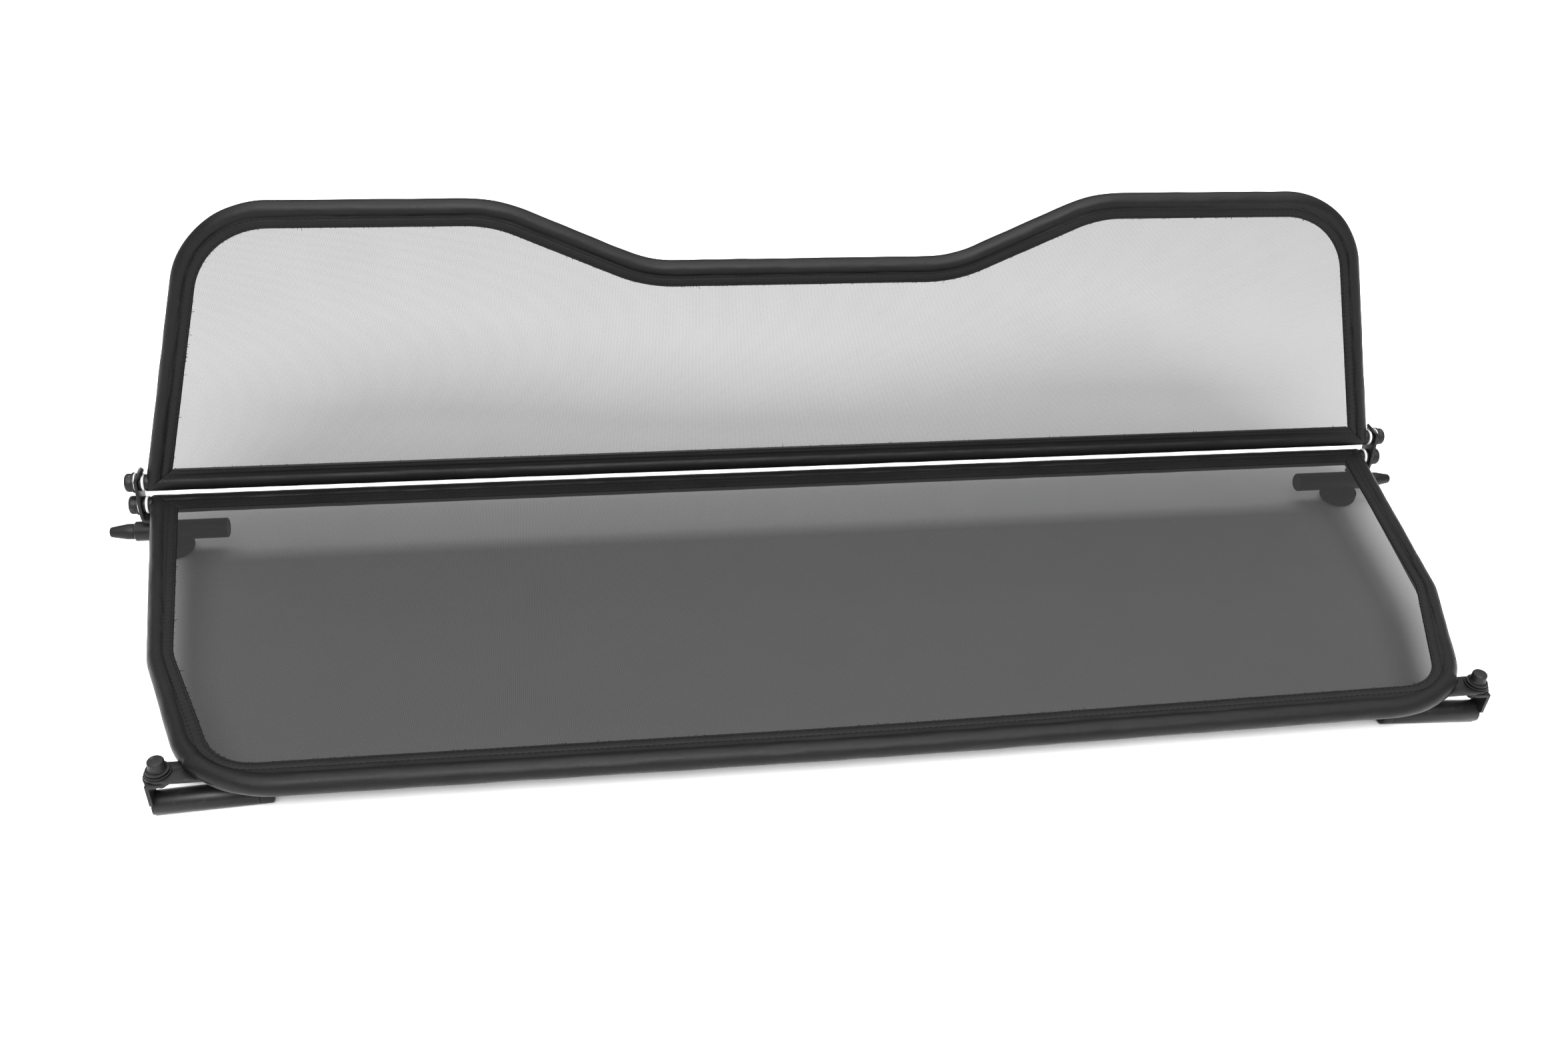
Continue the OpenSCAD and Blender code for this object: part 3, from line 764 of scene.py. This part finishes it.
def stitch_mesh(name, lines, screen, keep_side, leather):
    """Short thread arcs, each sunk at both ends, along every stitch row."""
    pitch, length = leather.pitch / MM, leather.stitch / MM
    thick = leather.thread / MM / 2
    points, faces = [], []
    sides, steps = 5, 4
    arc, sink, slant_limit, tip_share = 0.34, 0.16, 0.12, 0.75
    seam_margin = 2.5
    shape = random.Random(11)
    for line, facing in lines:
        runs = [0.0]
        for a, b in zip(line, line[1:]):
            runs.append(runs[-1] + (b - a).length)
        k, start = 0, 1.0
        while start + length < runs[-1]:
            while runs[k + 1] < start:
                k += 1
            share = (start - runs[k]) / max(runs[k + 1] - runs[k], 1e-6)
            at = line[k].lerp(line[k + 1], share)
            way = (line[k + 1] - line[k]).normalized()
            if inside_seams(at, screen, keep_side, seam_margin):
                side = Vector((-way.y, way.x, 0))
                slant = shape.uniform(-slant_limit, slant_limit)
                faces += tube_faces(len(points), steps + 1, sides)
                for i in range(steps + 1):
                    t = i / steps
                    centre = at + way * (length * t) + side * slant * (t - 0.5)
                    centre.z += (arc * sin(pi * t) - sink) * facing
                    r = thick * (tip_share if i in (0, steps) else 1)
                    points += ring_points(centre, side, r, sides)
            start += pitch
    return link_mesh(name, points, faces)


def border_line(screen, step):
    """The tube's centre line."""
    return rounded_line(screen["tube"], screen["tube_radii"], step)


def opening_line(screen, step, grow=0.0, radii=None):
    """The mesh's edge, moved out under the border by grow."""
    line = rounded_line(screen["open"], radii or screen["open_radii"], step, closed=True)
    if not grow:
        return line
    grown = []
    for i, p in enumerate(line):
        way = (line[(i + 1) % len(line)] - line[i - 1]).normalized()
        out = Vector((-way.y, way.x)) * grow * screen["inward"]
        grown.append(p + out)
    return grown


class DEFLECTOR_OT_covers(bpy.types.Operator):
    """Leatherette sleeves and sewn borders of both screens"""

    bl_idname = "deflector.covers"
    bl_label = "Covers"
    overrun = 14

    def execute(self, context):
        leather = context.scene.deflector_leather
        for key, screen in SCREENS.items():
            bottom = "lower_rear" if key == "lower" else "upper_bottom"
            sharp = [0.1, *screen["open_radii"][1:-1], 0.1]
            opening = opening_line(screen, 3, radii=sharp)
            line = border_line(screen, 3.2)
            first = (line[0] - line[1]).normalized() * self.overrun
            last = (line[-1] - line[-2]).normalized() * self.overrun
            places = stations([line[0] + first, *line, line[-1] + last], screen["inward"])
            widths = widths_to(opening, places)
            bow = sweep_cover(key + "_cover_piece", places, widths, None, 0.34, key == "lower")
            mitre(bow, screen, True)
            bar_line = [Vector((x, 0)) for x in range(-590, 591, 5)]
            bar_places = stations(bar_line, screen["inward"])
            bar_widths = [screen["bar_width"]] * len(bar_line)
            bar = sweep_cover(bottom + "_cover_piece", bar_places, bar_widths,
                              screen["bar_rows"], 0.28, False)
            mitre(bar, screen, False)
            for obj, node in ((bow, key + "_cover"), (bar, bottom + "_cover")):
                place_mesh(obj, screen["plane"])
                smooth(obj, 48)
                settle(obj, screen["body"], "leatherette", "leatherette", node)
            rows = cover_rows(places, widths, None)
            bar_rows = cover_rows(bar_places, bar_widths, screen["bar_rows"])[:2]
            for name, lines, keep in ((key + "_stitches", rows, True),
                                      (bottom + "_stitches", bar_rows, False)):
                thread = stitch_mesh(name, lines, screen, keep, leather)
                fix_normals(thread)
                place_mesh(thread, screen["plane"])
                smooth(thread, 60)
                settle(thread, screen["body"], "thread", "leatherette")
        return {"FINISHED"}


class DEFLECTOR_OT_mesh(bpy.types.Operator):
    """Stretched mesh of both screens, with the frayed thread ends along its border"""

    bl_idname = "deflector.mesh"
    bl_label = "Mesh"

    def execute(self, context):
        mesh = context.scene.deflector_mesh
        for key, screen in SCREENS.items():
            self.sheet(key, screen, mesh)
            self.frays(key, screen, mesh)
        return {"FINISHED"}

    def sheet(self, key, screen, mesh):
        """One flat sheet, tucked under the border and divided evenly inside its edge."""
        step, cell, clear = 6, 14, 2
        outline = opening_line(screen, step, mesh.tuck / MM)
        low = Vector((min(p.x for p in outline), min(p.y for p in outline)))
        high = Vector((max(p.x for p in outline), max(p.y for p in outline)))
        inner = opening_line(screen, step, -clear)
        grid = [Vector((x, y)) for x in range(int(low.x), int(high.x), cell)
                for y in range(int(low.y) + 5, int(high.y), cell)
                if self.holds(inner, Vector((x, y)))]
        count = len(outline)
        edges = [(i, (i + 1) % count) for i in range(count)]
        points, _, faces, *_ = delaunay_2d_cdt(outline + grid, edges, [], 1, 1e-5)
        obj = link_mesh(key + "_mesh_piece",
                        [(p.x * MM, p.y * MM, MESH_RISE * MM) for p in points], faces)
        map_uv(obj, [p * MM for p in points])
        place_mesh(obj, screen["plane"])
        if obj.data.polygons[0].normal.z < -0.1 or obj.data.polygons[0].normal.y > 0.5:
            obj.data.flip_normals()
        settle(obj, screen["body"], key + "_weave", "mesh", key + "_mesh")
        key + "_cover_piece"

    @staticmethod
    def holds(outline, p):
        """Whether a closed outline goes round the point."""
        inside = False
        for a, b in zip(outline, outline[1:] + outline[:1]):
            if (a.y > p.y) != (b.y > p.y):
                if p.x < (b.x - a.x) * (p.y - a.y) / (b.y - a.y) + a.x:
                    inside = not inside
        return inside

    @staticmethod
    def frays(key, screen, mesh):
        """Short bent thread ends that stand out of the border over the mesh."""
        long_share, long_factor, sides = 0.06, 2.2, 3
        edge = opening_line(screen, 1.0, 0.3)
        heart = Vector((0, sum(p.y for p in edge) / len(edge)))
        pick = random.Random(7 if key == "lower" else 8)
        points, faces = [], []
        for _ in range(mesh.frays):
            i = pick.randrange(len(edge))
            p = edge[i]
            way = (edge[(i + 2) % len(edge)] - edge[i - 2]).normalized()
            inward = (heart - p).normalized() * 0.5 + Vector((way.y, -way.x)) * screen["inward"]
            inward.normalize()
            reach = pick.uniform(0.5, 1.5) * (long_factor if pick.random() < long_share else 1)
            drift = way * pick.uniform(-1.6, 1.6)
            lift = pick.uniform(0.1, 0.9)
            spine = [Vector((*(p - inward * 0.6), MESH_RISE + 0.3)),
                     Vector((*(p + inward * reach * 0.5 + drift * 0.4), MESH_RISE + lift)),
                     Vector((*(p + inward * reach + drift), MESH_RISE + lift * 0.5))]
            faces += tube_faces(len(points), len(spine), sides)
            for centre, radius in zip(spine, (0.26, 0.22, 0.1)):
                points += ring_points(centre, way.to_3d(), radius, sides)
        obj = link_mesh(key + "_frayed_edge", points, faces)
        fix_normals(obj)
        place_mesh(obj, screen["plane"])
        smooth(obj, 70)
        settle(obj, screen["body"], "thread", "mesh")


# ---- hinge hardware, in millimetres in the lower screen's frame ----

PLATE_X = 582.5
PLATE_HALF = 10
FOOT_R, TONGUE_R = 5.5, 9.4
FLANGE_X, FLANGE_Z = 566, -11.9
FLANGE_BEND, LIP_BEND = 3.6, 3.5
LIP_Z = 26.6
GUSSET_AT = Vector((575, 0, -16.4))
GUSSET_SIZE = Vector((11, 10, 8))
KNOB_X = 565.5
KNOB_FOOT, KNOB_TOP = -50.6, -38.6


class DEFLECTOR_OT_brackets(bpy.types.Operator):
    """Bent hinge brackets with their gussets"""

    bl_idname = "deflector.brackets"
    bl_label = "Hinge brackets"

    def execute(self, context):
        metal = context.scene.deflector_metal
        for name, side in SIDES.items():
            strip = self.strip(name + "_bracket_strip", metal)
            gusset = self.gusset(name + "_gusset", metal)
            activate(strip)
            gusset.select_set(True)
            bpy.ops.object.join()
            strip.name = strip.data.name = name + "_hinge_bracket_piece"
            place_mesh(strip, LOWER @ Matrix.Scale(side, 4, (1, 0, 0)))
            if side < 0:
                strip.data.flip_normals()
            smooth(strip, 35)
            settle(strip, name + "_hinge", "black_steel", "black_steel",
                   name + "_hinge_bracket")
        return {"FINISHED"}

    @staticmethod
    def halves(line):
        """Half the strip's width at each point: small corners below, a round tongue on top."""
        runs = [0.0]
        for (x0, z0), (x1, z1) in zip(line, line[1:]):
            runs.append(runs[-1] + sqrt((x1 - x0) ** 2 + (z1 - z0) ** 2))
        found, least = [], 2.0
        for run in runs:
            foot = FOOT_R - min(run, FOOT_R)
            top = TONGUE_R - min(runs[-1] - run, TONGUE_R)
            found.append(PLATE_HALF - FOOT_R + sqrt(FOOT_R ** 2 - foot ** 2)
                         - TONGUE_R + sqrt(max(TONGUE_R ** 2 - top ** 2, least)))
        return found

    def strip(self, name, metal):
        """A flat strip led round its bends, thickened, with rounded corners and edges."""
        middle = PLATE_X + metal.strip / MM / 2
        lean = PIVOT_RISE.y / PIVOT_RISE.z
        line = [(FLANGE_X + FOOT_R * (1 - cos(radians(a))), FLANGE_Z)
                for a in (0, 25, 50, 75, 90)]
        for k in range(7):
            a = radians(-90 + 15 * k)
            line.append((middle - FLANGE_BEND * (1 - cos(a)),
                         FLANGE_Z + FLANGE_BEND * (1 + sin(a))))
        line += [(middle, z) for z in (0.0, 10.0, 20.5, LIP_Z)]
        for k in range(1, 5):
            a = radians(12.5 * k)
            line.append((middle - LIP_BEND * (1 - cos(a)), LIP_Z + LIP_BEND * sin(a)))
        (x, z), back, up = line[-1], 0.75, 0.64
        line += [(x - reach * back, z + reach * up) for reach in (1.2, 2.4, 3.6, 4.5, 5.1, 5.4)]
        halves = self.halves(line)
        deselect()
        bpy.ops.mesh.primitive_plane_add(size=1)
        obj = named(name)
        with editing(obj) as work:
            extra = [v for v in work.verts if v.co.x > 0]
            bmesh.ops.delete(work, geom=work.faces[:], context="FACES_ONLY")
            bmesh.ops.delete(work, geom=extra, context="VERTS")
            for v, way in zip(sorted(work.verts, key=lambda v: v.co.y), (-1, 1)):
                v.co = (line[0][0] * MM, way * halves[0] * MM, line[0][1] * MM)
            bmesh.update_edit_mesh(obj.data)
            bpy.ops.mesh.select_all(action="SELECT")
            middle_y = 0.0
            for i in range(1, len(line)):
                (x0, z0), (x1, z1) = line[i - 1], line[i]
                shift = lean * (max(z1, 0) - max(z0, 0))
                middle_y += shift
                bpy.ops.mesh.extrude_edges_move(TRANSFORM_OT_translate={
                    "value": ((x1 - x0) * MM, shift * MM, (z1 - z0) * MM)})
                bpy.ops.transform.resize(value=(1, halves[i] / halves[i - 1], 1),
                                         center_override=(x1 * MM, middle_y * MM, z1 * MM))
        place_mesh(obj)
        wall = obj.modifiers.new("wall", "SOLIDIFY")
        wall.thickness = metal.strip
        wall.offset = 0
        round_edges(obj, metal.soften * 1.3, limit_method="ANGLE", angle_limit=radians(50))
        fix_normals(obj)
        return obj

    @staticmethod
    def gusset(name, metal):
        """The upright piece between the flange and the pin barrel, flared at its foot."""
        deselect()
        centre = GUSSET_AT * MM
        bpy.ops.mesh.primitive_cube_add(size=1, location=centre)
        obj = named(name)
        with editing(obj):
            bpy.ops.transform.resize(value=GUSSET_SIZE * MM, center_override=centre)
        with editing(obj, "DESELECT") as work:
            for face in work.faces:
                face.select = face.normal.z < -0.5
            bmesh.update_edit_mesh(obj.data)
            bpy.ops.transform.resize(value=(1.15, 1.3, 1), center_override=centre)
        place_mesh(obj)
        round_edges(obj, metal.soften * 2)
        return obj


class DEFLECTOR_OT_pivots(bpy.types.Operator):
    """Pivot bolts, washers, spacers and end plugs of both hinge axes"""

    bl_idname = "deflector.pivots"
    bl_label = "Pivots"

    def execute(self, context):
        soften = context.scene.deflector_metal.soften
        for key in SCREENS:
            for part, finish, slot in (
                    ("pivot_bolts", "rubber", "black_steel"),
                    ("steel_washers", "black_steel", "black_steel"),
                    ("nylon_washers", "nylon", "nylon"),
                    ("spacers", "plastic", "plastic"),
                    ("end_plugs", "plastic", "plastic")):
                rounding = soften * (0.5 if "washers" in part else 0.9)
                refine(f"{key}_{part}", key + "_screen", finish, slot, rounding)
        return {"FINISHED"}


class DEFLECTOR_OT_pins(bpy.types.Operator):
    """Pin barrels, tapered locking pins and their fine-ribbed thumb knobs"""

    bl_idname = "deflector.pins"
    bl_label = "Locking pins"

    def execute(self, context):
        metal = context.scene.deflector_metal
        for name, side in SIDES.items():
            refine(name + "_barrel", name + "_hinge", "black_steel", "black_steel",
                   metal.soften)
            refine(name + "_lock_pin", name + "_pin", "plastic", "plastic",
                   metal.soften * 1.4)
            knob = self.knob(name + "_knob_piece", metal)
            place_mesh(knob, LOWER @ Matrix.Translation((side * KNOB_X * MM, 0, 0)))
            smooth(knob, 24)
            settle(knob, name + "_pin", "plastic", "plastic", name + "_knob")
        return {"FINISHED"}

    @staticmethod
    def knob(name, metal):
        """A flat round grip: rounded foot, fine ribs round the rim and a plain hub on top."""
        r, foot, top = metal.knob / MM, KNOB_FOOT, KNOB_TOP
        rib_depth, rib_factor = 2.6, 0.972
        profile = [(3.0, foot + 0.9), (8.5, foot + 0.9), (9.2, foot + 0.1), (12.6, foot)]
        profile += [(12.5 + 5 * sin(radians(a)), foot + 5 - 5 * cos(radians(a)))
                    for a in (20, 40, 60, 78)]
        profile += [(r, foot + 6), (r, top - 1.1), (r - 0.9, top - 0.2), (r - 2, top),
                    (7.5, top), (7.1, top + 0.35), (3.4, top + 0.35)]
        obj = lathe(name, [(a * MM, b * MM) for a, b in profile], metal.ribs * 2)
        step = pi / metal.ribs
        with editing(obj, "DESELECT") as work:
            for v in work.verts:
                turn = Vector((1, 0)).angle_signed(v.co.xy, 0) / step
                v.select = v.co.xy.length / MM > r - rib_depth and round(turn) % 2 == 0
            work.select_flush_mode()
            bmesh.update_edit_mesh(obj.data)
            bpy.ops.transform.resize(value=(rib_factor, rib_factor, 1),
                                     center_override=(0, 0, 0))
        return obj


class DEFLECTOR_OT_arms(bpy.types.Operator):
    """Front tabs, arm brackets, arm tubes with end caps and the pivot stacks"""

    bl_idname = "deflector.arms"
    bl_label = "Front arms"

    def execute(self, context):
        soften = context.scene.deflector_metal.soften
        for part, finish, slot, edge in (
                ("front_tabs", "black_steel", "black_steel", 1.2),
                ("arm_bolt_caps", "rubber", "rubber", 1.0),
                ("arm_top_washers", "black_steel", "black_steel", 1.0),
                ("arm_spring_washers", "black_steel", "black_steel", 0.6),
                ("arm_bottom_washers", "plastic", "rubber", 1.0),
                ("arm_nuts", "black_steel", "black_steel", 0.8)):
            refine(part, "lower_screen", finish, slot, soften * edge)
        for name in SIDES:
            for part, finish, slot, edge in (
                    ("arm_bracket", "black_steel", "black_steel", 1.4),
                    ("arm_tube", "black_steel", "black_steel", 0.8),
                    ("arm_plugs", "plastic", "plastic", 1.2)):
                refine(f"{name}_{part}", name + "_arm", finish, slot, soften * edge)
        return {"FINISHED"}


class DEFLECTOR_OT_slits(bpy.types.Operator):
    """Raised lips of the slits that the front tabs come out of"""

    bl_idname = "deflector.slits"
    bl_label = "Slit lips"

    def execute(self, context):
        screen = SCREENS["lower"]
        places = stations(border_line(screen, 1.0), screen["inward"])
        from_y, to_y = -344.5, -323.5
        out, low, rise = 8.05, -0.9, 0.5
        thin, swell, sides, hidden = 0.35, 0.75, 8, 0.02
        for name, side in SIDES.items():
            lip = [(p, n) for p, _, n in places if p.x * side > 0 and from_y < p.y < to_y]
            if side < 0:
                lip.reverse()
            points = []
            for i, (p, n) in enumerate(lip):
                share = i / (len(lip) - 1)
                middle = p - n * out
                points += ring_points(Vector((*middle, low + rise * share)), -n.to_3d(),
                                      thin + swell * sin(pi * share) ** 0.5, sides)
            obj = link_mesh(name + "_slit_lip", points, tube_faces(0, len(lip), sides))
            map_uv(obj, [(i * MM, hidden) for i in range(len(points))])
            fix_normals(obj)
            place_mesh(obj, LOWER)
            smooth(obj, 60)
            settle(obj, "lower_screen", "leatherette", "leatherette")
        return {"FINISHED"}


class DEFLECTOR_OT_finishes(bpy.types.Operator):
    """Finishes of the solids that show as they are"""

    bl_idname = "deflector.finishes"
    bl_label = "Finishes"

    def execute(self, context):
        by_slot = {s["node"]: s.get("material_slot") for s in frame["record"]["subparts"]}
        for node, obj in frame["nodes"].items():
            if not obj.hide_render:
                finish = by_slot.get(node, "black_steel")
                obj.data.materials.clear()
                obj.data.materials.append(FINISHES.get(finish, FINISHES["black_steel"]))
        return {"FINISHED"}


class DEFLECTOR_OT_stage(bpy.types.Operator):
    """Camera, pale floor and soft studio light"""

    bl_idname = "deflector.stage"
    bl_label = "Stage"

    def execute(self, context):
        stage = context.scene.deflector_stage
        self.camera(context, stage)
        self.floor()
        self.lights(context, stage)
        return {"FINISHED"}

    @staticmethod
    def camera(context, stage):
        data = bpy.data.cameras.new("camera")
        data.lens = stage.lens
        data.sensor_width = 36
        data.clip_end = 100
        camera = bpy.data.objects.new("camera", data)
        camera.location = stage.camera
        camera.rotation_euler = stage.turn
        context.scene.collection.objects.link(camera)
        context.scene.camera = camera

    @staticmethod
    def floor():
        deselect()
        bpy.ops.mesh.primitive_plane_add(size=60)
        floor = named("studio_floor")
        shade = Shade("studio_paper", Roughness=0.9, Specular_IOR_Level=0.1)
        shade.set("Base Color", shade.between(shade.noise(3.0), (0.88, 0.88, 0.88),
                                              (0.9, 0.9, 0.9)))
        floor.data.materials.append(shade.material)

    @staticmethod
    def lights(context, stage):
        context.scene.view_settings.view_transform = "Standard"
        world = bpy.data.worlds.new("studio_room")
        world.use_nodes = True
        room = world.node_tree.nodes["Background"]
        room.inputs["Color"].default_value = (1, 1, 1, 1)
        room.inputs["Strength"].default_value = stage.sky
        context.scene.world = world
        for name, at, size, power in (
                ("overhead", (0.0, 0.3, 3.6), (5.5, 4.0), stage.key),
                ("front_top", (-0.3, -2.3, 2.9), (2.6, 1.4), stage.key * 0.95)):
            data = bpy.data.lights.new(name, "AREA")
            data.shape = "RECTANGLE"
            data.size, data.size_y = size
            data.energy = power
            light = bpy.data.objects.new(name, data)
            light.location = at
            light.rotation_euler = (Vector((0, 0, 0)) - Vector(at)).to_track_quat(
                "-Z", "Y").to_euler()
            context.scene.collection.objects.link(light)


STEPS = (DEFLECTOR_OT_stage, DEFLECTOR_OT_covers, DEFLECTOR_OT_mesh, DEFLECTOR_OT_slits,
         DEFLECTOR_OT_brackets, DEFLECTOR_OT_pivots, DEFLECTOR_OT_pins, DEFLECTOR_OT_arms,
         DEFLECTOR_OT_finishes)


class DEFLECTOR_PT_panel(bpy.types.Panel):
    """Buttons for each group of pieces"""

    bl_idname = "DEFLECTOR_PT_panel"
    bl_label = "Wind Deflector"
    bl_space_type = "VIEW_3D"
    bl_region_type = "UI"
    bl_category = "Deflector"

    def draw(self, context):
        for step in STEPS:
            self.layout.operator(step.bl_idname)


SETTINGS = {"deflector_leather": DeflectorLeather, "deflector_mesh": DeflectorMesh,
            "deflector_metal": DeflectorHardware, "deflector_stage": DeflectorStage}
CLASSES = (*SETTINGS.values(), *STEPS, DEFLECTOR_PT_panel)


def register():
    for cls in CLASSES:
        bpy.utils.register_class(cls)
    for name, cls in SETTINGS.items():
        setattr(bpy.types.Scene, name, PointerProperty(type=cls))


def unregister():
    for name in SETTINGS:
        delattr(bpy.types.Scene, name)
    for cls in reversed(CLASSES):
        bpy.utils.unregister_class(cls)


def main():
    register()
    make_finishes()
    for step in STEPS:
        group, name = step.bl_idname.split(".")
        getattr(getattr(bpy.ops, group), name)()


if __name__ == "__main__":
    main()
